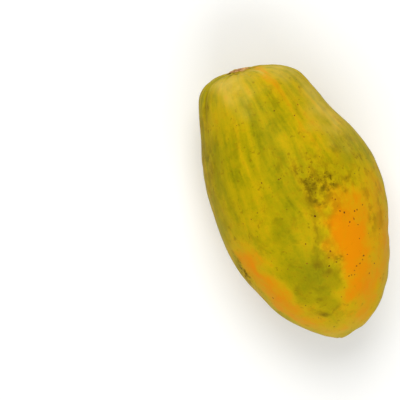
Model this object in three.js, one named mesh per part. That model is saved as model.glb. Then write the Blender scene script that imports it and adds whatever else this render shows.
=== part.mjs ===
// Papaya: one whole ripe fruit as picked, lying on its side on a small flat spot.
// Millimetres, +Z up, +X towards the stem end, origin under the middle of the fruit.

import * as THREE from 'three';

// Plain body, which the terms below shape further
const LENGTH = 146.1;
const RADIUS = 41.6;
const HEIGHT_TO_WIDTH = 0.975;

// Fullness along the body, as shares of the radius; places are cosines from 1 at the stem to -1 at the tip
const SHOULDER = 0.48;
const WAIST = 0.049;
const WAIST_PLACE = 0.68;
const WAIST_SPREAD = 0.23;
const TIP_POINT = 0.12;

// Bends and slants that keep the fruit from being a turned shape
const STEM_BEND = 4.1;
const TIP_BEND = -0.8;
const STEM_SLANT = 0.125;
const TIP_SLANT = 0.05;

// One-sided swellings of the -Y flank, each with its height, place and spread
const BELLY = { height: 2.2, place: 0.03, spread: 0.3 };
const NAPE_HOLLOW = { height: -1.4, place: 0.52, spread: 0.18 };
const CHEEK = { height: 0.7, place: 0.89, spread: 0.08 };

// Five uneven grooves between the lobes, in degrees from +Z towards -Y
const GROOVE_ANGLES = [-57, 38, 100, 150, 222];
const GROOVE_DEPTH = 0.012;
const GROOVE_DEPTH_AT_STEM = 0.046;
const GROOVE_DEPTH_AT_TIP = 0.03;
const GROOVE_MEAN = 0.4;

// Hollow round the stem scar, and the raised corky scar itself
const HOLLOW_DEPTH = 2.5;
const HOLLOW_RADIUS = 14;
const SCAR_HEIGHT = 1.1;
const SCAR_RADIUS = 5.6;
const SCAR_DISH_DEPTH = 0.7;
const SCAR_DISH_RADIUS = 3.4;

// Blunt nub at the blossom end, a little off the axis
const NUB_HEIGHT = 2.2;
const NUB_RADIUS = 5.8;
const NUB_OFFSET = 4.6;

// How the fruit lies: its nose-down tilt and how far its underside is pressed flat
const REST_PITCH = 0.6;
const REST_PRESS = 0.8;

// Grid of the surface, with rows crowded towards both ends
const ROWS = 60;
const COLUMNS = 60;
const ROW_CROWDING = 0.8;

const radians = (degrees) => THREE.MathUtils.degToRad(degrees);

// Bell curve of height 1 at its place
function bell(value, place, spread) {
  return Math.exp(-(((value - place) / spread) ** 2));
}

// 1 in a groove and 0 on the crest of a lobe, for an angle in radians
function grooveShare(angle) {
  const turn = 2 * Math.PI;
  const first = radians(GROOVE_ANGLES[0]);
  const along = (((angle - first) % turn) + turn) % turn;
  const starts = GROOVE_ANGLES.map((degrees) => radians(degrees) - first);
  const ends = [...starts.slice(1), turn];
  const lobe = ends.findIndex((end) => along < end);
  const share = (along - starts[lobe]) / (ends[lobe] - starts[lobe]);
  return Math.abs(Math.cos(Math.PI * share)) ** 3;
}

// Sideways shift of the -Y flank by its belly, nape hollow and cheek
function flankShift(station) {
  const swellings = [BELLY, NAPE_HOLLOW, CHEEK];
  return swellings.reduce(
    (sum, part) => sum + part.height * bell(station, part.place, part.spread),
    0,
  );
}

// Point of the skin for the angle from the stem pole and the angle round the axis
function skinPoint(polar, around) {
  const station = Math.cos(polar);
  const toStem = Math.max(station, 0);
  const toTip = Math.max(-station, 0);
  const side = -Math.sin(around);
  const top = Math.cos(around);

  const fullness =
    1 +
    SHOULDER * toStem ** 6 -
    WAIST * bell(station, WAIST_PLACE, WAIST_SPREAD) -
    TIP_POINT * toTip ** 4;
  const plain = RADIUS * Math.sin(polar) * fullness;
  const groove = GROOVE_DEPTH + GROOVE_DEPTH_AT_STEM * toStem ** 4 + GROOVE_DEPTH_AT_TIP * toTip ** 4;
  const radius = plain * (1 - groove * (grooveShare(around) - GROOVE_MEAN));

  let x = (station * LENGTH) / 2;
  if (station > 0) {
    x -= HOLLOW_DEPTH * Math.exp(-((plain / HOLLOW_RADIUS) ** 2));
    x += SCAR_HEIGHT * Math.exp(-((plain / SCAR_RADIUS) ** 8));
    x -= SCAR_DISH_DEPTH * Math.exp(-((plain / SCAR_DISH_RADIUS) ** 2));
  } else {
    const fromNub = Math.hypot(plain * side - NUB_OFFSET, plain * top);
    x -= NUB_HEIGHT * Math.exp(-((fromNub / NUB_RADIUS) ** 2));
  }
  x += radius * side * (STEM_SLANT * toStem ** 6 + TIP_SLANT * toTip ** 6);

  const flank = (1 - side) / 2;
  const bend = STEM_BEND * toStem ** 2 + TIP_BEND * toTip ** 2;
  const y = radius * side + bend - flank * flankShift(station);
  const z = radius * top * HEIGHT_TO_WIDTH;
  return new THREE.Vector3(x, y, z);
}

// Angle from the stem pole for a row, with steps that shrink towards both poles
function rowAngle(row) {
  const share = row / ROWS;
  const crowded = share - (ROW_CROWDING * Math.sin(2 * Math.PI * share)) / (2 * Math.PI);
  return Math.PI * crowded;
}

// One closed skin: a pole, rings from the stem to the tip, and a pole
function skinGeometry() {
  const points = [skinPoint(0, 0)];
  for (let row = 1; row < ROWS; row += 1) {
    for (let column = 0; column < COLUMNS; column += 1) {
      points.push(skinPoint(rowAngle(row), (2 * Math.PI * column) / COLUMNS));
    }
  }
  points.push(skinPoint(Math.PI, 0));

  const at = (row, column) => 1 + (row - 1) * COLUMNS + (column % COLUMNS);
  const last = points.length - 1;
  const faces = [];
  for (let column = 0; column < COLUMNS; column += 1) {
    faces.push(0, at(1, column), at(1, column + 1));
    for (let row = 1; row < ROWS - 1; row += 1) {
      faces.push(at(row, column), at(row + 1, column), at(row + 1, column + 1));
      faces.push(at(row, column), at(row + 1, column + 1), at(row, column + 1));
    }
    faces.push(at(ROWS - 1, column), last, at(ROWS - 1, column + 1));
  }

  const geometry = new THREE.BufferGeometry().setFromPoints(points);
  geometry.setIndex(faces);
  return geometry;
}

// The skin tilted as it lies, lowered by the press and flattened at the floor
function layDown(geometry) {
  geometry.rotateY(radians(REST_PITCH));
  geometry.computeBoundingBox();
  const box = geometry.boundingBox;
  const middle = box.getCenter(new THREE.Vector3());
  geometry.translate(-middle.x, -middle.y, -box.min.z - REST_PRESS);

  const position = geometry.getAttribute('position');
  for (let index = 0; index < position.count; index += 1) {
    position.setZ(index, Math.max(position.getZ(index), 0));
  }
  geometry.computeVertexNormals();
  return geometry;
}

const skin = new THREE.MeshStandardMaterial({ color: 0xc4a11f, roughness: 0.5, metalness: 0 });
const fruit = new THREE.Mesh(layDown(skinGeometry()), skin);
fruit.name = 'papaya';

const papaya = new THREE.Group();
papaya.add(fruit);

export default papaya;
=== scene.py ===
import logging
from dataclasses import dataclass, field
from enum import Enum

import bpy
import numpy as np
from mathutils import Matrix, Vector
from mathutils.bvhtree import BVHTree


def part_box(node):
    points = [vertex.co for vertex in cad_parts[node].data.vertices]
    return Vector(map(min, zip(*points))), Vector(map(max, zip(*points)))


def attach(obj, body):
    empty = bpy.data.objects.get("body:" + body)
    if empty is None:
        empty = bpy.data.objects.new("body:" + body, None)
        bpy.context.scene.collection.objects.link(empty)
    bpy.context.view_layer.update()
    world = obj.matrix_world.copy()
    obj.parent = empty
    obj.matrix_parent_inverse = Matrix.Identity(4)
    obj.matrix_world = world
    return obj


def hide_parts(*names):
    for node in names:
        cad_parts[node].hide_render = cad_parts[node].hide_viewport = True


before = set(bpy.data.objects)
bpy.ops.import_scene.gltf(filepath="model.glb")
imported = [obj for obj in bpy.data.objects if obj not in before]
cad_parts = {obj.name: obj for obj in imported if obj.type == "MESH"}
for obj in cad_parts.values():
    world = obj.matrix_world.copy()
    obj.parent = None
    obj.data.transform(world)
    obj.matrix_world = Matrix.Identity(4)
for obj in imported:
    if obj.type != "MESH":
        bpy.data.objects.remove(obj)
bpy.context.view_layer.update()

log = logging.getLogger("papaya")

MM = 0.001
IMAGE_SIZE = 400
TURN = 2 * np.pi
NOISE_MIDDLE = 0.5
NODE = "papaya"
BODY = "root"

Colour = tuple[float, float, float, float]
Span = tuple[float, float]
Rows = tuple[tuple[float, ...], ...]


def srgb(red: float, green: float, blue: float) -> Colour:
    """Linear colour of a screen colour, by the sRGB curve.

    Args:
        red, green, blue: the screen colour from 0 to 255.

    Returns:
        Red, green, blue and alpha, as Blender's sockets take them.
    """
    screen = np.array([red, green, blue]) / 255
    linear = np.where(screen <= 0.04045, screen / 12.92, ((screen + 0.055) / 1.055) ** 2.4)
    return (float(linear[0]), float(linear[1]), float(linear[2]), 1.0)


def bell(value: np.ndarray, place: float, spread: float) -> np.ndarray:
    """Bell curve of height 1: exp of minus the square of (value - place) / spread."""
    return np.exp(-(((value - place) / spread) ** 2))


def ring_faces(rings: int, columns: int) -> list[list[int]]:
    """Faces of a closed shape made of a first point, rings of points and a last point.

    Args:
        rings: number of rings.
        columns: number of points in each ring.

    Returns:
        Vertex numbers of the quads between rings, then of the fans at the first and the last point.
    """
    ring = 1 + np.arange(rings * columns).reshape(rings, columns)
    after = np.roll(ring, -1, axis=1)
    quads = np.stack([ring[:-1], ring[1:], after[1:], after[:-1]], axis=-1).reshape(-1, 4)
    first = np.stack([np.zeros_like(ring[0]), ring[0], after[0]], axis=-1)
    last = np.stack([ring[-1], np.full_like(ring[0], ring.max() + 1), after[-1]], axis=-1)
    return quads.tolist() + first.tolist() + last.tolist()


@dataclass(frozen=True)
class Waves:
    """Smooth uneven field in space, the sum of plane sine waves in seeded directions.

    size is the field's spread and wavelength its middle wavelength in millimetres. Each wave's length
    is the wavelength times a number drawn from lengths.
    """

    size: float
    wavelength: float
    count: int
    seed: int
    lengths: Span = (0.7, 1.4)

    def at(self, points: np.ndarray) -> np.ndarray:
        """Works out the field at some places.

        Args:
            points: places in millimetres, with x, y and z last.

        Returns:
            The field, in the shape of points without its last axis.
        """
        draw = np.random.default_rng(self.seed)
        heading = draw.normal(size=(3, self.count))
        heading /= np.linalg.norm(heading, axis=0)
        lengths = self.wavelength * draw.uniform(*self.lengths, self.count)
        phases = draw.uniform(0, TURN, self.count)
        total = np.sin(points @ (heading * TURN / lengths) + phases).sum(-1)
        return self.size * (total * np.sqrt(2 / self.count))


@dataclass(frozen=True)
class Ripple:
    """Sine wave round the axis, with its number of waves, its size and its phase in radians."""

    count: int
    size: float
    phase: float = 0.0

    def at(self, around: np.ndarray) -> np.ndarray:
        """Height of the wave at angles round the axis."""
        return self.size * np.sin(self.count * around + self.phase)


class SkinField(Enum):
    """Fields that vary over the skin, named as the mesh attributes that hold them.

    GRAIN is a place in the skin's grain, and each of the others is a number.
    """

    RIPENESS = "ripeness"
    GREEN_AND_SHADE = "green"
    SHADE = "shade"
    SCUFF = "scuff"
    WAX_AND_SHEEN = "wax_and_sheen"
    SCAB = "scab"
    STREAK = "streak"
    SCAR = "scar"
    RIM = "rim"
    BUNDLE = "bundle"
    BLOSSOM = "blossom"
    GRAIN = "grain"


@dataclass(frozen=True)
class Swelling:
    """Height in millimetres, place and spread of a one-sided swelling of the flank."""

    height: float
    place: float
    spread: float


@dataclass(frozen=True)
class Patch:
    """Soft oval on the skin.

    polar is in degrees from the stem pole and around in degrees from the top towards -Y. length and
    width are half sizes in millimetres, and lean turns the length away from the meridian. strength is
    a share, or millimetres where the oval is a dent or a bump.
    """

    polar: float
    around: float
    length: float
    width: float
    strength: float
    lean: float = 0.0
    edge: float = 1.0


@dataclass(frozen=True)
class PapayaForm:
    """The body of the fruit, with sizes in millimetres and angles in degrees.

    Shares are shares of the radius, and places are cosines from 1 at the stem to -1 at the tip.
    """

    length: float = 146.1
    radius: float = 41.6
    height_to_width: float = 0.975
    shoulder: float = 0.48
    waist: float = 0.049
    waist_place: float = 0.68
    waist_spread: float = 0.23
    tip_point: float = 0.12
    stem_bend: float = 4.1
    tip_bend: float = -0.8
    stem_slant: float = 0.125
    tip_slant: float = 0.05
    belly: Swelling = Swelling(2.2, 0.03, 0.3)
    nape_hollow: Swelling = Swelling(-1.4, 0.52, 0.18)
    cheek: Swelling = Swelling(0.7, 0.89, 0.08)
    groove_angles: tuple[float, ...] = (-57, 38, 100, 150, 222)
    groove_depth: float = 0.012
    groove_depth_at_stem: float = 0.046
    groove_depth_at_tip: float = 0.03
    groove_mean: float = 0.4
    hollow_depth: float = 2.5
    hollow_radius: float = 14.0
    scar_height: float = 1.1
    scar_radius: float = 5.6
    scar_dish_depth: float = 0.7
    scar_dish_radius: float = 3.4
    nub_height: float = 2.2
    nub_radius: float = 5.8
    nub_offset: float = 4.6
    rest_pitch: float = 0.6
    rest_press: float = 0.8

    def groove_share(self, around: np.ndarray) -> np.ndarray:
        """Share of a groove, the cube of the cosine across each uneven lobe.

        Args:
            around: angles round the axis.

        Returns:
            1 in a groove, falling to 0 on a lobe's crest.
        """
        starts = np.radians(np.array(self.groove_angles) - self.groove_angles[0])
        bounds = np.append(starts, TURN)
        along = np.mod(around - np.radians(self.groove_angles[0]), TURN)
        lobe = np.clip(np.searchsorted(bounds, along, side="right") - 1, 0, len(starts) - 1)
        share = (along - bounds[lobe]) / (bounds[lobe + 1] - bounds[lobe])
        return np.abs(np.cos(np.pi * share)) ** 3

    def plain_radius(self, polar: np.ndarray) -> np.ndarray:
        """Radius before lobes: the sine of the polar angle, fuller at the stem and finer at the tip.

        Args:
            polar: angles from the stem pole.

        Returns:
            Radii in millimetres.
        """
        station = np.cos(polar)
        to_stem = np.clip(station, 0, None)
        to_tip = np.clip(-station, 0, None)
        waist = self.waist * bell(station, self.waist_place, self.waist_spread)
        fullness = 1 + self.shoulder * to_stem**6 - waist - self.tip_point * to_tip**4
        return self.radius * np.sin(polar) * fullness

    def from_nub(self, polar: np.ndarray, around: np.ndarray) -> np.ndarray:
        """Distance across the axis from the middle of the blossom nub."""
        plain = self.plain_radius(polar)
        return np.hypot(-plain * np.sin(around) - self.nub_offset, plain * np.cos(around))

    def point(self, polar: np.ndarray, around: np.ndarray) -> np.ndarray:
        """Points of the skin before it is laid down.

        A stretched ball whose radius follows plain_radius, cut by the grooves, hollowed round the scar,
        raised at the scar and nub, slanted at both ends, bent along its axis and swollen on one flank.

        Args:
            polar: angles from the stem pole, as a column.
            around: angles round the axis, as a row.

        Returns:
            Array of x, y and z in millimetres, with one row for each polar angle.
        """
        station = np.cos(polar)
        to_stem = np.clip(station, 0, None)
        to_tip = np.clip(-station, 0, None)
        side = -np.sin(around)
        plain = self.plain_radius(polar)
        depth = self.groove_depth + self.groove_depth_at_stem * to_stem**4
        depth = depth + self.groove_depth_at_tip * to_tip**4
        radius = plain * (1 - depth * (self.groove_share(around) - self.groove_mean))

        hollow = self.hollow_depth * np.exp(-((plain / self.hollow_radius) ** 2))
        scar = self.scar_height * np.exp(-((plain / self.scar_radius) ** 8))
        dish = self.scar_dish_depth * np.exp(-((plain / self.scar_dish_radius) ** 2))
        nub = self.nub_height * np.exp(-((self.from_nub(polar, around) / self.nub_radius) ** 2))
        x = station * self.length / 2 + np.where(station > 0, scar - hollow - dish, -nub)
        x = x + radius * side * (self.stem_slant * to_stem**6 + self.tip_slant * to_tip**6)

        parts = (self.belly, self.nape_hollow, self.cheek)
        shift = sum(part.height * bell(station, part.place, part.spread) for part in parts)
        bend = self.stem_bend * to_stem**2 + self.tip_bend * to_tip**2
        y = radius * side + bend - (1 - side) / 2 * shift
        z = radius * np.cos(around) * self.height_to_width
        return np.stack([x, y, z], axis=-1)

    def laid_down(self, points: np.ndarray) -> np.ndarray:
        """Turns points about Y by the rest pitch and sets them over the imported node's middle and floor.

        Args:
            points: places in millimetres, with x, y and z last.

        Returns:
            The places in the object's frame, in millimetres.
        """
        pitch = np.radians(self.rest_pitch)
        x = points[..., 0] * np.cos(pitch) + points[..., 2] * np.sin(pitch)
        z = points[..., 2] * np.cos(pitch) - points[..., 0] * np.sin(pitch)
        turned = np.stack([x, points[..., 1], z], axis=-1)
        low, high = (np.array(corner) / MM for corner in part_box(NODE))
        own_low = turned.min((0, 1))
        own_high = turned.max((0, 1))
        shift = (low + high) / 2 - (own_low + own_high) / 2
        shift[2] = low[2] - own_low[2] - self.rest_press
        return turned + shift


@dataclass
class SkinGrid:
    """The skin as a grid of rows from stem to tip and columns round the axis."""

    form: PapayaForm
    rows: int = 340
    columns: int = 272
    crowding: float = 0.9
    stray: float = 1.8
    stray_share: float = 0.22
    stray_waves: tuple[Waves, Waves] = (Waves(1.0, 11.0, 24, 51), Waves(1.0, 11.0, 24, 52))
    polar: np.ndarray = field(init=False)
    around: np.ndarray = field(init=False)
    points: np.ndarray = field(init=False)
    normals: np.ndarray = field(init=False)
    arc: np.ndarray = field(init=False)
    strays: tuple[np.ndarray, np.ndarray] = field(init=False)

    def __post_init__(self) -> None:
        """Works out the angles, points, outward normals, arc lengths and strays of the grid."""
        share = np.linspace(0, 1, self.rows + 1)[:, None]
        self.polar = np.pi * (share - self.crowding * np.sin(TURN * share) / TURN)
        self.around = (TURN * np.arange(self.columns) / self.columns)[None, :]
        self.points = self.form.laid_down(self.form.point(self.polar, self.around))
        self.normals = self.outward(self.points)
        steps = np.linalg.norm(np.diff(self.points, axis=0), axis=-1).mean(1)
        self.arc = np.concatenate([[0.0], np.cumsum(steps)])[:, None]
        self.strays = tuple(waves.at(self.points) for waves in self.stray_waves)

    def outward(self, points: np.ndarray) -> np.ndarray:
        """Unit normals: the step towards the tip crossed with the step round, and the mean at poles.

        Args:
            points: places of the grid, with x, y and z last.

        Returns:
            One outward normal for each place.
        """
        down = np.gradient(points, axis=0)
        onward = np.roll(points, -1, axis=1) - np.roll(points, 1, axis=1)
        normals = np.cross(down, onward)
        normals[0] = normals[1].mean(0)
        normals[-1] = normals[-2].mean(0)
        return normals / np.linalg.norm(normals, axis=-1, keepdims=True)

    def offsets(self, patch: Patch) -> tuple[np.ndarray, np.ndarray]:
        """Distances from a patch's middle, along and across its length.

        The step along the meridian is a difference of arc length, and the step round is the angle times
        the plain radius. Both stray a little by waves, so that edges are uneven, and are then turned by
        the patch's lean.

        Args:
            patch: the oval to measure from.

        Returns:
            The distances along and across, as grids in millimetres.
        """
        place = np.interp(np.radians(patch.polar), self.polar[:, 0], self.arc[:, 0])
        angle = np.mod(self.around - np.radians(patch.around) + np.pi, TURN) - np.pi
        stray = min(self.stray, self.stray_share * patch.width)
        down = self.arc - place + stray * self.strays[0]
        onward = angle * self.form.plain_radius(self.polar) + stray * self.strays[1]
        lean = np.radians(patch.lean)
        along = down * np.cos(lean) + onward * np.sin(lean)
        across = onward * np.cos(lean) - down * np.sin(lean)
        return along, across

    def oval(self, patch: Patch) -> np.ndarray:
        """Soft oval: exp of minus the squared distance in half sizes, to the power of its edge.

        Args:
            patch: the oval's place, size and strength.

        Returns:
            Grid that is the patch's strength in its middle and fades to 0.
        """
        along, across = self.offsets(patch)
        squared = (along / patch.length) ** 2 + (across / patch.width) ** 2
        return patch.strength * np.exp(-(squared**patch.edge))

    def total(self, rows: Rows) -> np.ndarray:
        """Sum of soft ovals, one for each row of a patch's values."""
        return np.zeros(self.points.shape[:2]) + sum(self.oval(Patch(*row)) for row in rows)

    def packed(self, values: np.ndarray) -> np.ndarray:
        """Values in the order of the mesh's vertices: the stem pole, the rings and the tip pole."""
        flat = values[1:-1].reshape(-1, *values.shape[2:])
        return np.concatenate([values[:1].mean(1), flat, values[-1:].mean(1)])


def new_piece(name: str, vertices: np.ndarray, faces: list[list[int]]) -> bpy.types.Object:
    """Smooth mesh object at the origin.

    Args:
        name: the piece's name.
        vertices: places in millimetres, one row each.
        faces: lists of vertex numbers, turning the right way round seen from outside.

    Returns:
        The new object, linked to the scene.
    """
    mesh = bpy.data.meshes.new(name)
    mesh.from_pydata((vertices * MM).tolist(), [], faces)
    mesh.polygons.foreach_set("use_smooth", np.ones(len(mesh.polygons), bool))
    mesh.update()
    piece = bpy.data.objects.new(name, mesh)
    bpy.context.scene.collection.objects.link(piece)
    return piece


class Value:
    """A shader socket that can be written into expressions."""

    def __init__(self, tree: "FinishTree", socket: bpy.types.NodeSocket) -> None:
        """Keeps the tree and the output socket."""
        self.tree = tree
        self.socket = socket

    def maths(self, operation: str, first: "Value | float", second: "Value | float") -> "Value":
        """Result of a Math node on two values."""
        return self.tree.node("ShaderNodeMath", {"operation": operation}, {0: first, 1: second})

    def __add__(self, other: "Value | float") -> "Value":
        """Sum."""
        return self.maths("ADD", self, other)

    def __sub__(self, other: "Value | float") -> "Value":
        """Difference."""
        return self.maths("SUBTRACT", self, other)

    def __rsub__(self, other: float) -> "Value":
        """Difference from a number."""
        return self.maths("SUBTRACT", other, self)

    def __mul__(self, other: "Value | float") -> "Value":
        """Product."""
        return self.maths("MULTIPLY", self, other)

    __radd__ = __add__
    __rmul__ = __mul__

    def step(self, low: float, high: float) -> "Value":
        """Smooth step from 0 at low to 1 at high."""
        sockets = {"Value": self, "From Min": low, "From Max": high}
        return self.tree.node("ShaderNodeMapRange", {"interpolation_type": "SMOOTHSTEP"}, sockets)


@dataclass(frozen=True)
class Texture:
    """Noise of one fineness: its cells for each unit of length, its make-up and its pull on ripeness."""

    cells: float
    detail: float
    roughness: float = 0.5
    pull: float = 0.0


class FinishTree:
    """The nodes of one material."""

    def __init__(self, name: str) -> None:
        """Starts an empty material of that name."""
        self.material = bpy.data.materials.new(name)
        self.material.use_nodes = True
        self.nodes = self.material.node_tree.nodes
        self.links = self.material.node_tree.links
        self.nodes.clear()

    def node(
        self,
        kind: str,
        settings: dict[str, object],
        sockets: dict[str | int, object],
        output: str | int = 0,
    ) -> Value:
        """A new node of any kind.

        Args:
            kind: the node's type.
            settings: its properties, set first; stops holds a ramp's places and colours.
            sockets: numbers, colours or values for its inputs, by name or number.
            output: name or number of the output that is returned.

        Returns:
            The chosen output.
        """
        made = self.nodes.new(kind)
        for name, setting in settings.items():
            if name == "stops":
                self.set_stops(made.color_ramp, setting)
            else:
                setattr(made, name, setting)
        for name, given in sockets.items():
            if isinstance(given, Value):
                self.links.new(given.socket, made.inputs[name])
            else:
                made.inputs[name].default_value = given
        return Value(self, made.outputs[output])

    @staticmethod
    def set_stops(ramp: bpy.types.ColorRamp, stops: tuple[tuple[float, Colour], ...]) -> None:
        """Puts a ramp's stops in place.

        Args:
            ramp: the ramp to change, which has two stops or more.
            stops: a position and a linear colour for each stop.
        """
        while len(ramp.elements) < len(stops):
            ramp.elements.new(1.0)
        for element, (position, colour) in zip(ramp.elements, stops):
            element.position = position
            element.color = colour

    def noise(self, where: Value, texture: Texture) -> Value:
        """Noise from 0 to 1 at a place, in one texture."""
        sockets = {"Scale": texture.cells, "Detail": texture.detail, "Roughness": texture.roughness}
        return self.node("ShaderNodeTexNoise", {}, {"Vector": where, **sockets})

    def layer(self, share: Value, under: object, over: object) -> Value:
        """One colour laid over another by a share from 0 to 1."""
        settings = {"data_type": "RGBA", "clamp_factor": True}
        return self.node("ShaderNodeMix", settings, {0: share, 6: under, 7: over}, 2)

    def field(self, kind: SkinField) -> Value:
        """One of the skin's number fields, read from the mesh."""
        return self.node("ShaderNodeAttribute", {"attribute_name": kind.value}, {}, "Fac")

    def grain(self) -> Value:
        """Place in the skin's own grain, which runs from stem to tip."""
        settings = {"attribute_name": SkinField.GRAIN.value}
        return self.node("ShaderNodeAttribute", settings, {}, "Vector")

    def place(self) -> Value:
        """Place on the object, in metres."""
        return self.node("ShaderNodeTexCoord", {}, {}, "Object")

    def bump(self, height: Value, depth: float, before: Value | None = None) -> Value:
        """Normal of a surface that is bumped by a height.

        Args:
            height: the height as a share of the depth.
            depth: height of a share of 1, in metres.
            before: an earlier bump that this one is laid over.

        Returns:
            The bumped normal.
        """
        sockets = {"Height": height, "Distance": depth, "Strength": 1.0}
        if before is not None:
            sockets["Normal"] = before
        return self.node("ShaderNodeBump", {}, sockets)

    def finish(self, sockets: dict[str, object]) -> bpy.types.Material:
        """Ends the tree in a Principled shader that is linked to the material's output.

        Args:
            sockets: numbers, colours or values for the shader's inputs, by name.

        Returns:
            The finished material.
        """
        surface = self.node("ShaderNodeBsdfPrincipled", {}, sockets)
        output = self.nodes.new("ShaderNodeOutputMaterial")
        self.links.new(surface.socket, output.inputs["Surface"])
        return self.material


@dataclass(frozen=True)
class SkinFinish:
    """Waxy skin that ripens from green through yellow to orange, with its marks and corky scars, and
    with painted sheen and painted shade in its colour.

    A mark fades in where its texture rises through its span and covers at most its share, and names
    that end in crumbs, mottle or dashes are those noises' parts in a mark. Depths are in metres.
    """

    stops: tuple[tuple[float, Colour], ...] = (
        (0.0, srgb(110, 106, 3)),
        (0.2, srgb(146, 136, 3)),
        (0.38, srgb(174, 152, 4)),
        (0.52, srgb(191, 158, 6)),
        (0.66, srgb(200, 151, 6)),
        (0.8, srgb(208, 142, 4)),
        (0.92, srgb(213, 134, 2)),
        (1.0, srgb(217, 132, 2)),
    )
    # Deep green of the green field, which also lays painted shade over the left flank.
    deep_green_and_shade: Colour = srgb(116, 112, 2)
    # Dark olive of smudges and dark spots, also laid as painted shade over the left flank and in a
    # crease.
    smudge_and_shade_tone: Colour = srgb(115, 94, 5)
    scuff: Colour = srgb(126, 98, 3)
    # Pale bloom and painted sheen.
    wax_and_sheen: Colour = srgb(222, 192, 92)
    scab: Colour = srgb(82, 66, 2)
    scab_bed: Colour = srgb(124, 104, 3)
    cork: Colour = srgb(212, 162, 112)
    cork_dark: Colour = srgb(142, 94, 50)
    rim: Colour = srgb(78, 50, 14)
    streaks: Texture = Texture(8.0, 2.0, 0.5, 0.7)
    dashes: Texture = Texture(26.0, 3.0, 0.6, 0.2)
    clouds: Texture = Texture(62.0, 4.0, 0.58, 0.45)
    blotches: Texture = Texture(118.0, 5.0, 0.62)
    mottle: Texture = Texture(230.0, 4.0, 0.62, 0.42)
    flecks: Texture = Texture(360.0, 2.0, 0.6)
    crumbs: Texture = Texture(620.0, 4.0, 0.7, 0.28)
    pores: Texture = Texture(1500.0, 2.0)
    ripe_span: Span = (0.5, 0.75)
    green_span: Span = (0.8, 1.12)
    green_share: float = 0.8
    green_blotch_span: Span = (0.52, 0.68)
    green_blotch_share: float = 0.45
    freckle_crumbs: float = 0.6
    freckle_mottle: float = 0.4
    freckle_span: Span = (0.51, 0.62)
    freckle_share: float = 0.24
    fleck_span: Span = (0.62, 0.72)
    fleck_share: float = 0.12
    fleck_share_unripe: float = 0.4
    fleck_share_scuffed: float = 0.35
    scuff_dashes: float = 0.5
    scuff_mottle: float = 0.5
    scuff_span: Span = (0.95, 1.18)
    scuff_share: float = 0.8
    wax_and_sheen_span: Span = (0.2, 0.6)
    smudge_and_shade_span: Span = (0.3, 0.6)
    scab_bed_span: Span = (0.4, 0.56)
    scab_bed_share: float = 0.6
    crust_crumbs: float = 1.4
    crust_mottle: float = 0.6
    crust_span: Span = (1.0, 1.13)
    crust_share: float = 0.95
    cork_span: Span = (0.7, 1.25)
    bundle_share: float = 0.75
    rim_span: Span = (0.3, 0.6)
    roughness: float = 0.5
    roughness_spread: float = 0.16
    crust_roughness: float = 0.25
    cork_roughness: float = 0.35
    pore_depth: float = 0.00004
    streak_depth: float = 0.0002
    crumb_depth: float = 0.00035
    refraction: float = 1.42
    specular: float = 0.03
    subsurface: float = 0.03
    subsurface_radius: tuple[float, float, float] = (0.6, 0.3, 0.08)
    subsurface_scale: float = 0.004

    def build(self) -> bpy.types.Material:
        """Builds the material from the skin's fields and noise, some of it along the skin's grain.

        crust_roughness and cork_roughness are added to the skin's own roughness.

        Returns:
            The skin's material.
        """
        tree = FinishTree("papaya_skin")
        place = tree.place()
        grain = tree.grain()
        streaking = tree.field(SkinField.STREAK)
        streaks = tree.noise(grain, self.streaks)
        dashes = tree.noise(grain, self.dashes)
        clouds = tree.noise(place, self.clouds)
        blotches = tree.noise(place, self.blotches)
        mottle = tree.noise(place, self.mottle)
        crumbs = tree.noise(place, self.crumbs)

        ripe = tree.field(SkinField.RIPENESS)
        ripe = ripe + (streaks - NOISE_MIDDLE) * streaking * self.streaks.pull
        noises = (dashes, clouds, mottle, crumbs)
        textures = (self.dashes, self.clouds, self.mottle, self.crumbs)
        for noise, texture in zip(noises, textures):
            ripe = ripe + (noise - NOISE_MIDDLE) * texture.pull
        colour = tree.node("ShaderNodeValToRGB", {"stops": self.stops}, {"Fac": ripe})
        unripe = 1 - ripe.step(*self.ripe_span)

        # Deep green streaks and blotches; one green row is painted shade that darkens the left flank.
        green = tree.field(SkinField.GREEN_AND_SHADE) * (dashes + mottle).step(*self.green_span)
        green = green + blotches.step(*self.green_blotch_span) * unripe * self.green_blotch_share
        colour = tree.layer(green * self.green_share, colour, self.deep_green_and_shade)
        freckles = crumbs * self.freckle_crumbs + mottle * self.freckle_mottle
        freckles = freckles.step(*self.freckle_span) * unripe
        colour = tree.layer(freckles * self.freckle_share, colour, self.scuff)
        scuffed = tree.field(SkinField.SCUFF)
        fleck_share = unripe * self.fleck_share_unripe + scuffed * self.fleck_share_scuffed
        flecks = tree.noise(place, self.flecks).step(*self.fleck_span)
        colour = tree.layer(flecks * (fleck_share + self.fleck_share), colour, self.scuff)
        scuff = dashes * self.scuff_dashes + mottle * self.scuff_mottle + blotches
        scuff = scuffed * scuff.step(*self.scuff_span)
        colour = tree.layer(scuff * self.scuff_share, colour, self.scuff)
        # Pale bloom and painted sheen, lighter on the shoulders and the neck.
        wax_and_sheen = tree.field(SkinField.WAX_AND_SHEEN) * clouds.step(*self.wax_and_sheen_span)
        colour = tree.layer(wax_and_sheen, colour, self.wax_and_sheen)
        # Smudges, dark spots and marks, and painted shade over the left flank and in the left crease.
        shade = tree.field(SkinField.SHADE) * mottle.step(*self.smudge_and_shade_span)
        colour = tree.layer(shade, colour, self.smudge_and_shade_tone)

        scab = tree.field(SkinField.SCAB)
        bed = scab * mottle.step(*self.scab_bed_span)
        colour = tree.layer(bed * self.scab_bed_share, colour, self.scab_bed)
        crust = crumbs * self.crust_crumbs + mottle * self.crust_mottle
        crust = scab * crust.step(*self.crust_span)
        colour = tree.layer(crust * self.crust_share, colour, self.scab)

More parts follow.
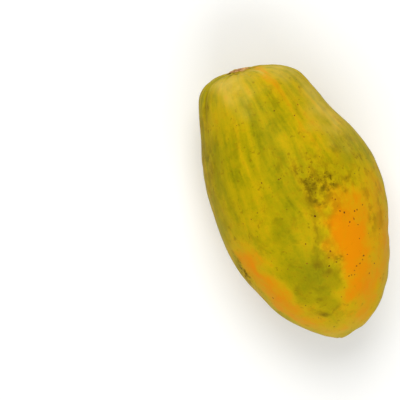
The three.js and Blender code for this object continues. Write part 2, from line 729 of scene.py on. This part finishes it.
        cork = tree.field(SkinField.SCAR)
        cork_tone = tree.layer((crumbs + mottle).step(*self.cork_span), self.cork_dark, self.cork)
        bundles = tree.field(SkinField.BUNDLE) * self.bundle_share
        cork_tone = tree.layer(bundles, cork_tone, self.rim)
        colour = tree.layer(cork, colour, cork_tone)
        rim = tree.field(SkinField.RIM) * mottle.step(*self.rim_span)
        rim = rim + tree.field(SkinField.BLOSSOM)
        colour = tree.layer(rim, colour, self.rim)

        rough = self.roughness + (mottle - NOISE_MIDDLE) * self.roughness_spread
        rough = rough + crust * self.crust_roughness + cork * self.cork_roughness
        normal = tree.bump(tree.noise(place, self.pores), self.pore_depth)
        normal = tree.bump(streaks * streaking, self.streak_depth, normal)
        normal = tree.bump(crumbs * (scab + cork), self.crumb_depth, normal)
        return tree.finish(
            {
                "Base Color": colour,
                "Roughness": rough,
                "Normal": normal,
                "IOR": self.refraction,
                "Specular IOR Level": self.specular,
                "Subsurface Weight": self.subsurface,
                "Subsurface Radius": self.subsurface_radius,
                "Subsurface Scale": self.subsurface_scale,
            }
        )


@dataclass(frozen=True)
class SpeckFinish:
    """Dry dark brown of the raised specks."""

    light: Colour = srgb(140, 84, 4)
    dark: Colour = srgb(84, 46, 2)
    tone: Texture = Texture(320.0, 2.0)
    tone_span: Span = (0.35, 0.65)
    grit: Texture = Texture(3000.0, 2.0)
    grit_depth: float = 0.00005
    roughness: float = 0.7
    specular: float = 0.1

    def build(self) -> bpy.types.Material:
        """Builds brown that varies from speck to speck.

        Returns:
            The specks' material.
        """
        tree = FinishTree("papaya_speck")
        place = tree.place()
        share = tree.noise(place, self.tone).step(*self.tone_span)
        sockets = {
            "Base Color": tree.layer(share, self.dark, self.light),
            "Normal": tree.bump(tree.noise(place, self.grit), self.grit_depth),
            "Roughness": self.roughness,
            "Specular IOR Level": self.specular,
        }
        return tree.finish(sockets)


@dataclass(frozen=True)
class LatexFinish:
    """Dried milky sap on the stem scar."""

    light: Colour = srgb(228, 216, 192)
    dark: Colour = srgb(186, 162, 126)
    tone: Texture = Texture(1400.0, 3.0)
    tone_span: Span = (0.35, 0.7)
    chalk_depth: float = 0.00015
    roughness: float = 0.6

    def build(self) -> bpy.types.Material:
        """Builds a chalky white with a little tan.

        Returns:
            The sap's material.
        """
        tree = FinishTree("papaya_latex")
        tone = tree.noise(tree.place(), self.tone)
        colour = tree.layer(tone.step(*self.tone_span), self.dark, self.light)
        normal = tree.bump(tone, self.chalk_depth)
        return tree.finish({"Base Color": colour, "Roughness": self.roughness, "Normal": normal})


@dataclass(frozen=True)
class FloorFinish:
    """Plain pale floor."""

    tone: Colour = srgb(244, 244, 242)
    roughness: float = 0.9

    def build(self) -> bpy.types.Material:
        """Builds a plain matte white."""
        sockets = {"Base Color": self.tone, "Roughness": self.roughness}
        return FinishTree("floor_white").finish(sockets)


@dataclass(frozen=True)
class Viewpoint:
    """Where the fruit is seen from, with sizes in millimetres and angles in degrees.

    framed is the place on the fruit that shows at pixel, and a pixel there is pixel_size wide.
    """

    framed: tuple[float, float, float] = (1.8, 2.2, 39.9)
    pixel: Span = (294.0, 200.0)
    tilt: float = 10.6
    roll: float = 21.0
    distance: float = 1000.0
    pixel_size: float = 0.5
    sensor: float = 36.0
    nearest: float = 50.0

    def axes(self) -> tuple[np.ndarray, np.ndarray, np.ndarray]:
        """Directions of the picture, from the tilt and the roll.

        Returns:
            Unit vectors to the picture's right, to its top and back to the viewer.
        """
        tilt = np.radians(self.tilt)
        roll = np.radians(self.roll)
        along = np.array([np.cos(tilt), 0, -np.sin(tilt)])
        across = np.array([0.0, 1.0, 0.0])
        right = -np.sin(roll) * along - np.cos(roll) * across
        up = np.cos(roll) * along - np.sin(roll) * across
        back = np.array([np.sin(tilt), 0, np.cos(tilt)])
        return right, up, back

    def on_plane(self, pixel: tuple[float, float]) -> np.ndarray:
        """Point of the plane through the framed place, square to the view, that a pixel shows.

        Args:
            pixel: the pixel's places across and down.

        Returns:
            The point in millimetres.
        """
        right, up, _ = self.axes()
        step_right = (pixel[0] - self.pixel[0]) * self.pixel_size
        step_down = (pixel[1] - self.pixel[1]) * self.pixel_size
        return np.array(self.framed) + step_right * right - step_down * up

    def eye(self) -> np.ndarray:
        """Place of the camera, straight back from the picture's middle."""
        return self.on_plane((IMAGE_SIZE / 2, IMAGE_SIZE / 2)) + self.distance * self.axes()[2]

    def build(self) -> None:
        """Makes the camera and gives it to the scene."""
        data = bpy.data.cameras.new("camera")
        data.sensor_width = self.sensor
        data.lens = self.sensor * self.distance / (IMAGE_SIZE * self.pixel_size)
        data.clip_start = self.nearest * MM
        camera = bpy.data.objects.new("camera", data)
        turn = Matrix(np.stack(self.axes(), axis=1).tolist()).to_4x4()
        camera.matrix_world = Matrix.Translation(Vector(self.eye() * MM)) @ turn
        bpy.context.scene.collection.objects.link(camera)
        bpy.context.scene.camera = camera


@dataclass(frozen=True)
class Softbox:
    """Square soft light, with its place and aim in metres and its power in watts."""

    name: str
    place: tuple[float, float, float]
    size: float
    power: float
    aim: tuple[float, float, float] = (0.0, 0.0, 0.04)

    def build(self) -> None:
        """Makes the light and turns it to its aim."""
        data = bpy.data.lights.new(self.name, "AREA")
        data.shape = "SQUARE"
        data.size = self.size
        data.energy = self.power
        lamp = bpy.data.objects.new(self.name, data)
        lamp.location = self.place
        lamp.rotation_mode = "QUATERNION"
        lamp.rotation_quaternion = (Vector(self.aim) - Vector(self.place)).to_track_quat("-Z", "Y")
        lamp.visible_camera = False
        bpy.context.scene.collection.objects.link(lamp)


@dataclass(frozen=True)
class Studio:
    """Pale floor, even surrounding light and soft lamps, with the floor's half side in metres."""

    floor_half: float = 3.0
    surround: float = 0.45
    surround_tone: Colour = srgb(255, 255, 255)
    lamps: tuple[Softbox, ...] = (
        Softbox("key_light", (0.72, -0.08, 0.95), 0.7, 9.8),
        Softbox("fill_light", (-0.7, 0.16, 0.85), 0.9, 6.1),
    )

    def build(self) -> None:
        """Makes the floor, the surround and the lamps."""
        half = self.floor_half / MM
        corners = np.array([[-half, -half, 0], [half, -half, 0], [half, half, 0], [-half, half, 0]])
        floor = new_piece("floor", corners, [[0, 1, 2, 3]])
        floor.data.materials.append(FloorFinish().build())
        world = bpy.data.worlds.new("surround")
        world.use_nodes = True
        background = world.node_tree.nodes["Background"]
        background.inputs["Color"].default_value = self.surround_tone
        background.inputs["Strength"].default_value = self.surround
        bpy.context.scene.world = world
        bpy.context.scene.view_settings.view_transform = "Standard"
        for lamp in self.lamps:
            lamp.build()


@dataclass(frozen=True)
class SkinMarks:
    """Soft ovals on the skin, as rows of a patch's values, each set named for what it marks.

    The rows of height are dents and bumps in millimetres. A blotch is a dark oval laid in with the
    rows of shade, and its row leaves out the strength, which all blotches share.
    """

    ripeness: Rows = (
        (100, 19, 15, 10, 0.26, -10, 1.8),
        (92, 16, 8, 7, 0.2, -4, 1.5),
        (109, 26, 11, 8, 0.16, -8, 1.3),
        (120, 18.5, 20, 8.5, 0.26, -10, 1.6),
        (102, 19.5, 25, 13, 0.18, -12, 2.6),
        (105, 9.5, 6, 5, 0.22, -18, 1.8),
        (126, 23.5, 10, 5, 0.12),
        (89, 21.5, 4, 4.5, -0.2),
        (90, 28, 8, 8, 0.14, -10),
        (130, -68, 16, 5, -0.3),
        (103, 39, 12, 4, 0.14, -17),
        (112, 51, 38, 17, 0.32, -4, 1.6),
        (63, 61, 14, 8, 0.12),
        (138, 26, 20, 13, 0.24, -8, 1.6),
        (121, -56, 33, 13, 0.46, 12, 1.6),
        (102, -57, 10, 7, 0.26, 10, 1.3),
        (8, 74, 4, 1.8, 0.26, -40),
        (10.5, 52, 7, 2.4, 0.34, -33),
        (20, 33, 6, 2.6, 0.26, -19),
        (29, 28, 7, 3.2, 0.2, -8),
        (37, 26, 6, 2.6, 0.12, -2),
        (27, -20, 8, 9, 0.2),
        (92, -7, 11, 7, 0.12),
        (60, 46, 14, 8, 0.05),
        (60, 34, 20, 11, 0.06, -10),
        (53, -29, 26, 2.2, 0.12, 2),
        (68, 10, 12, 9, 0.12),
        (158, 4, 16, 20, 0.06),
        (118, -16, 22, 12, -0.09),
        (113, 4, 10, 6, -0.14),
        (82, -14, 14, 9, -0.16),
        (50, -6, 16, 7, -0.1, 6),
        (74, 50, 14, 9, -0.12),
        (104, 138, 30, 18, 0.4, 12, 1.5),
        (72, 186, 26, 16, 0.3, -10, 1.3),
        (122, 214, 22, 12, 0.4, 8, 1.5),
        (84, -112, 24, 11, 0.26, -12, 1.3),
        (46, 128, 16, 9, 0.2),
    )
    green: Rows = (
        (93, -19, 7, 4, 0.6, -18),
        (50, -4, 12, 3.5, 0.25, 8),
        (66, -3, 10, 5, 0.5),
        (45, 34, 10, 2, 0.6, -14),
        (49, -26, 8, 1.6, 0.5),
        (78, -23, 12, 3, 0.35),
        (73, 50, 16, 9, 0.5),
        (119, -18, 15, 9, 0.6),
        # Painted shade: this deep green row darkens the left flank.
        (64, -64, 22, 10, 0.55),
        (108, 100, 16, 4, 0.4),
        (66, 160, 12, 4, 0.4),
    )
    scuff: Rows = (
        (100, 48, 14, 3.6, 0.85, -2),
        (101, 61, 10, 3.5, 0.8),
        (84, 36, 7, 6, 0.5),
        (72, 48, 7, 5, 0.45),
        (78, 56, 9, 5, 0.5),
        (87, 62, 8, 4, 0.5),
        (113, 10, 3.5, 3.5, 0.9),
        (114, -7, 3, 2.5, 0.8),
        (71, 8, 6, 8, 0.5),
        (60, 66, 7, 3, 0.7),
        (38, -60, 9, 3, 0.5),
        (81, 13, 9, 9, 0.6),
    )
    # Pale bloom and painted sheen: the first six rows are painted sheen and highlights on the shoulders
    # and the neck, the last two pale bloom on the tip and the far side.
    wax_and_sheen: Rows = (
        (23, 62, 8, 8, 0.4),
        (26, -18, 9, 9, 0.42),
        (15, 31, 6, 0.9, 0.5, -14),
        (62, 57, 14, 9, 0.36),
        (47, 65, 9, 5, 0.3),
        (18.5, -44, 5, 7, 0.3),
        (160, 0, 12, 14, 0.1),
        (100, 122, 16, 9, 0.24),
    )
    # Rows of shade: smudges, a dark boundary line and dark marks, and painted shade, which is the broad
    # row over the left flank and the thin row in the left crease.
    shade: Rows = (
        (99, 0, 15, 1.2, 0.4, -14),
        # Painted shade over the left flank.
        (61, -76, 26, 9, 0.5),
        (92, 2, 12, 5, 0.14, -10),
        (137, -17, 3.6, 1.8, 0.9, 80),
        (136.3, -8, 4.4, 1.3, 0.8, 115),
        # Painted shade in the left crease, over its dent.
        (31, -68, 8, 0.7, 0.5),
        (110, -75, 9, 2, 0.7),
        (86, 12, 13, 11, 0.44),
        (103, 57, 14, 4, 0.2, -8),
        (98.5, 8.5, 7, 3, 0.26, -18),
        (39, 27, 6, 1.1, 0.4, -8),
        (106, 1.5, 9, 3.2, 0.24),
        (111.5, 11, 2.4, 1.6, 0.8, 40),
        (108.5, 4, 8, 5.5, 0.3),
        (118, -2, 9, 5, 0.18),
        (80.5, 23, 3.2, 2.6, 0.4),
        (85, 17, 3, 6, 0.3),
        (7.6, -27, 1.2, 2.8, 1.5),
        (6, 72, 1.1, 1.8, 1.3),
    )
    scab: Rows = (
        (80, 12, 6, 6, 0.55, 20, 1.4),
        (81, 24, 5, 3, 0.9),
        (75, 6, 4, 3, 0.6, 30),
        (109, -72, 10, 3.4, 1.0),
        (96, 168, 7, 4, 0.8),
    )
    height: Rows = (
        (8, -165, 2.4, 2.4, 0.9),
        (12, -150, 3.2, 2.8, -3.0),
        (15, -112, 6, 4, -0.5),
        (17, 113, 7, 6, -0.6),
        (164, 59, 5, 6, 0.5),
        (159, -77, 6, 6, 0.4),
        (36, 88, 6, 6, 0.5),
        (50, 85, 7, 6, 0.5),
        (47, -92, 14, 9, 0.5),
        (66, -93, 7, 8, -0.4),
        (121, -87, 6, 6, -0.4),
        (94, 78, 12, 9, 0.7),
        (115, 80, 7, 9, -1.0),
        (144, 66, 12, 9, 0.9),
        (152, 71, 5, 6, 0.5),
        (24, -34, 2.4, 1.8, -0.35),
        (30, -68, 9, 1.3, -0.35),
    )
    blotch_strength: float = 0.65
    blotches: Rows = (
        (78, 10.5, 1.2, 2.0),
        (79.5, 7.5, 1.3, 1.1),
        (73.5, 13.5, 1.0, 1.3),
        (81, 11.5, 1.8, 1.2),
        (82, 9, 1.6, 1.5),
        (85, 10, 0.7, 0.9),
        (83.5, 14.5, 0.8, 1.3),
        (84, 21.5, 1.4, 0.8),
        (85, 18.5, 1.3, 0.9),
        (74.5, 4, 1.5, 1.1),
        (80.5, 1, 1.0, 1.4),
        (85, 5, 0.9, 1.1),
        (87, 8, 0.9, 1.1),
        (89, 10.5, 1.1, 1.3),
        (111.5, -6, 1.0, 1.5),
        (114, -4.5, 1.6, 0.9),
        (111.5, 11.5, 1.4, 1.3),
        (113, 8.5, 0.6, 1.3),
        (115.5, 0, 1.6, 2.0),
        (127, -15, 1.2, 1.4),
        (117.5, -26.5, 1.2, 1.4),
        (81.5, 22.5, 2.4, 1.5),
        (84.5, 24.5, 1.2, 1.6),
        (84.5, 35, 2.0, 2.2),
        (88, 29.5, 1.0, 1.8),
        (71, 21.5, 1.3, 1.6),
    )

    def painted(self) -> dict[SkinField, Rows]:
        """Sorts the rows that colour the skin by their fields.

        Returns:
            Rows by field, with the blotches after the other rows of shade.
        """
        dark = tuple((*blotch, self.blotch_strength) for blotch in self.blotches)
        return {
            SkinField.RIPENESS: self.ripeness,
            SkinField.GREEN_AND_SHADE: self.green,
            SkinField.SHADE: self.shade + dark,
            SkinField.SCUFF: self.scuff,
            SkinField.WAX_AND_SHEEN: self.wax_and_sheen,
            SkinField.SCAB: self.scab,
        }


@dataclass
class Skin:
    """The whole skin: its lobed body, relief, fields and finish, with sizes in millimetres."""

    grid: SkinGrid
    marks: SkinMarks = SkinMarks()
    base_ripeness: float = 0.36
    grain_length: float = 210.0
    grain_sway: Waves = Waves(0.035, 40.0, 16, 17)
    streak_fade: float = 60.0
    streak_fade_spread: float = 35.0
    uneven: Waves = Waves(0.2, 34.0, 18, 4)
    dimples: Waves = Waves(0.04, 9.0, 40, 9)
    pleat: float = 0.5
    pleats: int = 13
    pleat_wobble: Ripple = Ripple(3, 0.7, 0.6)
    pleat_mean: float = 0.6
    pleat_fade: int = 10
    pleat_free_radius: float = 8.0
    scab_grain: Waves = Waves(0.12, 2.4, 40, 12)
    cork_grain: Waves = Waves(0.12, 1.6, 40, 21)
    cork_radius: float = 5.2
    cork_lobes: Ripple = Ripple(3, 0.35, 1.0)
    cork_ruffle: Ripple = Ripple(7, 0.2)
    cork_sharpness: int = 12
    cork_cover: float = 0.8
    rim_depth: float = 0.4
    rim_width: float = 0.7
    rim_offset: float = 0.3
    rim_uneven: float = 0.35
    rim_turn: float = 2.4
    pit_radius: float = 0.9
    bundle_depth: float = 0.4
    bundle_ring: float = 3.1
    bundle_ring_wave: Ripple = Ripple(2, 0.4, 1.0)
    bundle_width: float = 0.45
    bundle_stray: Ripple = Ripple(2, 0.7)
    bundles: int = 11
    star_depth: float = 0.45
    star_radius: float = 1.7
    star_reach: float = 0.4
    star_arms: int = 5
    star_tone: float = 0.8

    def relief(self) -> np.ndarray:
        """Height of the skin over the plain form.

        The sum of broad and fine waves, pleats that fade from the stem, dents, bumps and scabs where
        the marks put them, the cork's pits, rough top and sunk rim, and the star at the blossom end.

        Returns:
            Grid of heights in millimetres.
        """
        grid = self.grid
        plain = grid.form.plain_radius(grid.polar)
        to_stem = np.clip(np.cos(grid.polar), 0, None)
        folds = np.abs(np.cos(self.pleats / 2 * grid.around + self.pleat_wobble.at(grid.around)))
        away = 1 - bell(plain, 0, self.pleat_free_radius)
        pleats = self.pleat * to_stem**self.pleat_fade * (folds - self.pleat_mean) * away
        height = self.uneven.at(grid.points) + self.dimples.at(grid.points) + pleats
        height = height - self.rim_depth * self.rim_share()
        height = height + grid.total(self.marks.scab) * self.scab_grain.at(grid.points)
        cork = self.cork_share()
        height = height * (1 - self.cork_cover * cork) + grid.total(self.marks.height)
        pits = self.bundle_depth * self.bundle_share()
        height = height + cork * (self.cork_grain.at(grid.points) - pits)
        return height - self.star_depth * self.star_share()

    def bundle_share(self) -> np.ndarray:
        """Pits of the scar's face.

        The middle pit is a bell of the radius. The ring is a bell across its radius times the clipped
        cosine of the number of bundles times the angle, which strays a little.

        Returns:
            Grid that is 1 in the pit and in the small pits of its ring of bundles.
        """
        grid = self.grid
        plain = grid.form.plain_radius(grid.polar)
        angle = self.bundles * grid.around + self.bundle_stray.at(grid.around)
        middle = self.bundle_ring + self.bundle_ring_wave.at(grid.around)
        ring = bell(plain, middle, self.bundle_width)
        share = ring * np.clip(np.cos(angle), 0, 1) + bell(plain, 0, self.pit_radius)
        return share * (np.cos(grid.polar) > 0)

    def cork_edge(self) -> np.ndarray:
        """Radius of the corky scar, which waves round the axis."""
        around = self.grid.around
        return self.cork_radius + self.cork_lobes.at(around) + self.cork_ruffle.at(around)

    def cork_share(self) -> np.ndarray:
        """1 on the corky scar and 0 off it: exp of minus a high power of the share of its radius."""
        reach = self.grid.form.plain_radius(self.grid.polar) / self.cork_edge()
        return np.exp(-(reach**self.cork_sharpness)) * (np.cos(self.grid.polar) > 0)

    def rim_share(self) -> np.ndarray:
        """Sunk rim round the scar: a bell across its edge, deeper on two sides.

        Returns:
            Grid that is 1 in the rim where it is deepest.
        """
        grid = self.grid
        past = grid.form.plain_radius(grid.polar) - self.cork_edge()
        share = bell(past, self.rim_offset, self.rim_width)
        sides = 1 - self.rim_uneven + self.rim_uneven * np.cos(2 * grid.around + self.rim_turn)
        return share * sides * (np.cos(grid.polar) > 0)

    def star_share(self) -> np.ndarray:
        """Small star at the blossom end: a bell whose radius has arms.

        Returns:
            Grid that is 1 in the star's middle.
        """
        grid = self.grid
        plain = grid.form.plain_radius(grid.polar)
        across = -plain * np.sin(grid.around) - grid.form.nub_offset
        upward = plain * np.cos(grid.around)
        turn = np.arctan2(upward, across)
        radius = self.star_radius * (1 + self.star_reach * np.cos(self.star_arms * turn))
        share = np.exp(-((np.hypot(across, upward) / radius) ** 2))
        return share * (np.cos(grid.polar) < 0)

    def fields(self) -> dict[SkinField, np.ndarray]:
        """Works out the number fields of the skin; streaks fade by the fourth power of the arc.

        Returns:
            Grids by field.
        """
        grid = self.grid
        found = {kind: grid.total(rows) for kind, rows in self.marks.painted().items()}
        found[SkinField.RIPENESS] = found[SkinField.RIPENESS] + self.base_ripeness
        past = np.clip(grid.arc - self.streak_fade, 0, None) / self.streak_fade_spread
        found[SkinField.STREAK] = 1 / (1 + past**4) + np.zeros_like(grid.around)
        found[SkinField.SCAR] = self.cork_share()
        found[SkinField.RIM] = self.rim_share()
        found[SkinField.BUNDLE] = self.bundle_share()
        found[SkinField.BLOSSOM] = self.star_tone * self.star_share()
        return found

    def grain(self) -> np.ndarray:
        """Place in the grain: the cosine and sine of the swayed angle round, and the arc shortened.

        Returns:
            Grid of places, with their three numbers last.
        """
        grid = self.grid
        turn = grid.around + self.grain_sway.at(grid.points)
        along = grid.arc / self.grain_length + np.zeros_like(grid.around)
        return np.stack([np.cos(turn), np.sin(turn), along], axis=-1)

    def build(self) -> bpy.types.Object:
        """Builds the skin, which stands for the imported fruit.

        Returns:
            The skin's mesh object.
        """
        grid = self.grid
        height = self.relief()
        height[0] = height[0].mean()
        height[-1] = height[-1].mean()
        points = grid.points + grid.normals * height[..., None]
        floor = np.array(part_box(NODE)[0])[2] / MM
        points[..., 2] = np.maximum(points[..., 2], floor)
        faces = ring_faces(grid.rows - 1, grid.columns)
        skin = new_piece("papaya_skin", grid.packed(points), faces)
        for kind, values in self.fields().items():
            layer = skin.data.attributes.new(kind.value, "FLOAT", "POINT")
            layer.data.foreach_set("value", grid.packed(values).astype(np.float32))
        layer = skin.data.attributes.new(SkinField.GRAIN.value, "FLOAT_VECTOR", "POINT")
        layer.data.foreach_set("vector", grid.packed(self.grain()).astype(np.float32).ravel())
        skin.data.materials.append(SkinFinish().build())
        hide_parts(NODE)
        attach(skin, BODY)
        return skin


@dataclass
class Domes:
    """Low closed domes set on the skin, each a cap over a shallow bowl sunk into it.

    Heights are shares of a dome's radius, and waves are shares of it by which its outline swings.
    tuck is how far its lowest ring is sunk, in millimetres. A normal is upright where the size of its
    cosine to the vertical reaches upright.
    """

    rings: int = 4
    sides: int = 12
    height_share: float = 0.2
    sunk_share: float = 0.3
    waves: Span = (0.16, 0.1)
    tuck: float = 0.05
    upright: float = 0.9
    seed: int = 7

    def build(
        self,
        name: str,
        places: np.ndarray,
        normals: np.ndarray,
        radii: np.ndarray,
    ) -> bpy.types.Object:
        """Builds one mesh of domes.

        Each dome is rings of a half sphere flattened to its height share, then one point below the skin.
        Its outline swings by two and by three seeded waves round it.

        Args:
            name: the piece's name.
            places: middles on the skin in millimetres, one row each.
            normals: outward unit normals at the places.
            radii: radii in millimetres.

        Returns:
            The mesh object.
        """
        draw = np.random.default_rng(self.seed)
        count = len(places)
        leaning = np.abs(normals[:, 2:]) < self.upright
        helper = np.where(leaning, [[0.0, 0.0, 1.0]], [[1.0, 0.0, 0.0]])
        first = np.cross(helper, normals)
        first /= np.linalg.norm(first, axis=1, keepdims=True)
        second = np.cross(normals, first)
        angle = TURN * np.arange(self.sides) / self.sides
        phase = draw.uniform(0, TURN, (count, 2, 1))
        outline = 1 + self.waves[0] * np.sin(2 * angle + phase[:, 0])
        outline = outline + self.waves[1] * np.sin(3 * angle + phase[:, 1])
        number = np.arange(1, self.rings + 1)
        tilt = np.pi / 2 * number / self.rings
        reach = radii[:, None, None] * outline[:, None, :] * np.sin(tilt)[None, :, None]
        rise = radii[:, None, None] * self.height_share * np.cos(tilt)[None, :, None]
        rise = rise - self.tuck * (number == self.rings)[None, :, None] + np.zeros_like(reach)
        ring = (
            places[:, None, None]
            + reach[..., None] * np.cos(angle)[:, None] * first[:, None, None]
            + reach[..., None] * np.sin(angle)[:, None] * second[:, None, None]
            + rise[..., None] * normals[:, None, None]
        )
        top = places + normals * radii[:, None] * self.height_share
        base = places - normals * radii[:, None] * self.sunk_share
        each = np.concatenate([top[:, None], ring.reshape(count, -1, 3), base[:, None]], axis=1)
        pattern = ring_faces(self.rings, self.sides)
        starts = (np.arange(count) * each.shape[1]).tolist()
        faces = [[start + corner for corner in face] for start in starts for face in pattern]
        return new_piece(name, each.reshape(-1, 3), faces)


@dataclass
class Specks:
    """Dark raised specks: the ones that show, by pixel and radius, and a seeded scatter elsewhere.

    Radii, the bare stretch of arc at the stem and the lowest height of a speck are in millimetres.
    """

    skin: bpy.types.Object
    grid: SkinGrid
    viewpoint: Viewpoint
    scattered: int = 90
    scatter_radius: Span = (0.16, 0.32)
    bare_stem: float = 22.0
    bare_tip_rows: int = 20
    lowest: float = 2.0
    seen_scale: float = 0.8
    seed: int = 31
    seen: Rows = (
        (340, 211, 0.5),
        (344.3, 212.5, 0.6),
        (349.8, 222, 0.6),
        (354, 219, 0.5),
        (358, 224.6, 0.4),
        (354.5, 211, 0.55),
        (357, 209.6, 0.55),
        (362.5, 204.7, 0.45),
        (335.3, 199.4, 0.5),
        (332.5, 198, 0.35),
        (349, 276, 0.45),
        (351.6, 275, 0.45),
        (354.6, 274.6, 0.4),
        (354.5, 270.5, 0.45),
        (356.5, 266, 0.5),
        (360, 263.4, 0.5),
        (362.6, 259.6, 0.45),
        (363.6, 255.6, 0.65),
        (369.3, 273.3, 0.6),
        (374.4, 263.4, 0.5),
        (347.3, 254.4, 0.4),
        (336.5, 262, 0.5),
        (330.4, 251.2, 0.6),
        (329.2, 266, 0.55),
        (315, 216.2, 0.7),
        (273, 298, 0.6),
        (334, 326.8, 0.5),
        (307, 263.5, 0.5),
        (305.6, 244, 0.5),
        (251.3, 219.3, 0.45),
        (278.8, 179.5, 0.5),
        (261.6, 183, 0.45),
        (297.8, 104.6, 0.5),
        (294.5, 115.5, 0.45),
        (274.2, 110.8, 0.45),
        (318.4, 317.4, 0.35),
        (380.4, 278, 0.4),
    )

    def placed(self) -> tuple[np.ndarray, np.ndarray, np.ndarray]:
        """Finds the specks that show, on the skin behind their pixels.

        Returns:
            Their places, normals and radii.
        """
        tree = BVHTree.FromObject(self.skin, bpy.context.evaluated_depsgraph_get())
        eye = self.viewpoint.eye()
        hits = []
        for across, down, radius in self.seen:
            heading = Vector(self.viewpoint.on_plane((across, down)) - eye).normalized()
            place, normal, _, _ = tree.ray_cast(Vector(eye * MM), heading)
            if place is None:
                log.warning("no skin behind pixel %s, %s", across, down)
                continue
            hits.append((*(np.array(place) / MM), *normal, radius * self.seen_scale))
        found = np.array(hits)
        return found[:, :3], found[:, 3:6], found[:, 6]

    def drawn(self) -> tuple[np.ndarray, np.ndarray, np.ndarray]:
        """Draws seeded specks evenly over the skin, each row weighed by its girth and its step.

        Returns:
            Their places, normals and radii.
        """
        draw = np.random.default_rng(self.seed)
        weight = self.grid.form.plain_radius(self.grid.polar[:, 0]) * np.gradient(self.grid.arc[:, 0])
        weight[self.grid.arc[:, 0] < self.bare_stem] = 0
        weight[-self.bare_tip_rows :] = 0
        row = draw.choice(len(weight), self.scattered, p=weight / weight.sum())
        column = draw.integers(0, self.grid.columns, self.scattered)
        radii = draw.uniform(*self.scatter_radius, self.scattered)
        vertex = 1 + (row - 1) * self.grid.columns + column
        mesh = self.skin.data
        places = np.empty(len(mesh.vertices) * 3, np.float32)
        normals = np.empty(len(mesh.vertices) * 3, np.float32)
        mesh.vertices.foreach_get("co", places)
        mesh.vertex_normals.foreach_get("vector", normals)
        chosen = places.reshape(-1, 3)[vertex].astype(float) / MM
        above = chosen[:, 2] > self.lowest
        return chosen[above], normals.reshape(-1, 3)[vertex][above].astype(float), radii[above]

    def build(self) -> bpy.types.Object:
        """Builds the specks as one piece.

        Returns:
            The mesh object.
        """
        both = zip(self.placed(), self.drawn())
        places, normals, radii = (np.concatenate(pair) for pair in both)
        specks = Domes().build("papaya_specks", places, normals, radii)
        specks.data.materials.append(SpeckFinish().build())
        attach(specks, BODY)
        return specks


@dataclass
class Latex:
    """Drops of dried sap on the corky scar, by distance from the pole, angle round it and radius.

    scar_rows is how many of the grid's rows the drops are sought in, and height_share their height as
    a share of their radius.
    """

    grid: SkinGrid
    scar_rows: int = 80
    height_share: float = 0.32
    seed: int = 3
    drops: Rows = (
        (2.4, -20, 0.75),
        (3.5, 30, 0.45),
        (4.1, -95, 0.4),
    )

    def build(self) -> bpy.types.Object:
        """Builds the drops as one piece.

        Returns:
            The mesh object.
        """
        plain = self.grid.form.plain_radius(self.grid.polar[: self.scar_rows, 0])
        spots = np.array(self.drops)
        rows = np.searchsorted(plain, spots[:, 0])
        columns = np.round(spots[:, 1] / 360 * self.grid.columns).astype(int) % self.grid.columns
        places = self.grid.points[rows, columns]
        normals = self.grid.normals[rows, columns]
        domes = Domes(height_share=self.height_share, seed=self.seed)
        drops = domes.build("papaya_latex", places, normals, spots[:, 2])
        drops.data.materials.append(LatexFinish().build())
        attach(drops, BODY)
        return drops


def report(piece: bpy.types.Object) -> None:
    """Logs a piece's name and number of faces."""
    log.info("%s: %d faces", piece.name, len(piece.data.polygons))


def main() -> None:
    """Builds the camera, the fruit's pieces and the studio."""
    logging.basicConfig(level=logging.INFO)
    viewpoint = Viewpoint()
    viewpoint.build()
    grid = SkinGrid(PapayaForm())
    skin = Skin(grid).build()
    report(skin)
    report(Specks(skin, grid, viewpoint).build())
    report(Latex(grid).build())
    Studio().build()


if __name__ == "__main__":
    main()
